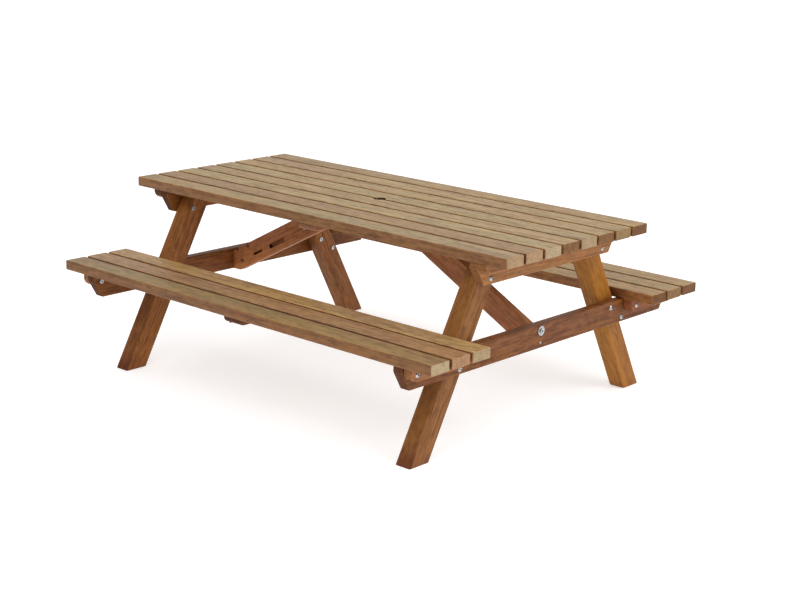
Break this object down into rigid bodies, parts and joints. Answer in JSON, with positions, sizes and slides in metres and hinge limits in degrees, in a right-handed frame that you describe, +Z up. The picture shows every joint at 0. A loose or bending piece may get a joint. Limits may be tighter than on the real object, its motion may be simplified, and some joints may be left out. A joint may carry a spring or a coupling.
{
  "type": "picnic table",
  "caption": "Rectangular slatted picnic table with an attached bench along each long side, on two leaning A-frames with diagonal braces and a central parasol hole.",
  "frame": {"origin": "on the ground under the middle of the table top", "axes": "+X along the boards towards the right-hand end, +Y from the front bench to the back bench, +Z up"},
  "size_m": [2, 1.631, 0.7485],
  "materials": {
    "board_wood": "sanded hardwood boards, light tan, oiled, with a matt surface",
    "leg_wood": "planed golden-brown wood, lightly oiled",
    "frame_wood": "planed reddish-brown wood, lightly oiled",
    "zinc": "bright zinc-plated steel",
    "screw_steel": "plain stainless steel"
  },
  "bodies": {
    "root": {"back_bench_board_1": "board_wood", "back_bench_board_2": "board_wood", "back_bench_board_3": "board_wood", "back_bench_centre_batten": "frame_wood", "back_bench_centre_batten_screws": "screw_steel", "back_bench_left_batten": "frame_wood", "back_bench_left_batten_screws": "screw_steel", "back_bench_right_batten": "frame_wood", "back_bench_right_batten_screws": "screw_steel", "back_left_leg": "leg_wood", "back_right_leg": "leg_wood", "brace_bolts": "zinc", "brace_end_screws": "screw_steel", "brace_top_screws": "screw_steel", "brace_washers": "zinc", "front_bench_board_1": "board_wood", "front_bench_board_2": "board_wood", "front_bench_board_3": "board_wood", "front_bench_centre_batten": "frame_wood", "front_bench_centre_batten_screws": "screw_steel", "front_bench_left_batten": "frame_wood", "front_bench_left_batten_screws": "screw_steel", "front_bench_right_batten": "frame_wood", "front_bench_right_batten_screws": "screw_steel", "front_left_leg": "leg_wood", "front_right_leg": "leg_wood", "left_bench_batten_bolts": "zinc", "left_bolt_washers": "zinc", "left_brace": "frame_wood", "left_cap_nuts": "zinc", "left_leg_bolts": "zinc", "left_seat_beam": "frame_wood", "left_top_batten": "frame_wood", "left_top_batten_bolts": "zinc", "left_top_beam": "frame_wood", "right_bench_batten_bolts": "zinc", "right_bolt_washers": "zinc", "right_brace": "frame_wood", "right_cap_nuts": "zinc", "right_leg_bolts": "zinc", "right_seat_beam": "frame_wood", "right_top_batten": "frame_wood", "right_top_batten_bolts": "zinc", "right_top_beam": "frame_wood", "table_board_1": "board_wood", "table_board_2": "board_wood", "table_board_3": "board_wood", "table_board_4": "board_wood", "table_board_5": "board_wood", "table_board_6": "board_wood", "table_board_7": "board_wood", "table_board_8": "board_wood", "top_centre_batten": "frame_wood", "top_centre_batten_screws": "screw_steel", "top_left_batten_screws": "screw_steel", "top_right_batten_screws": "screw_steel"}
  },
  "joints": []
}
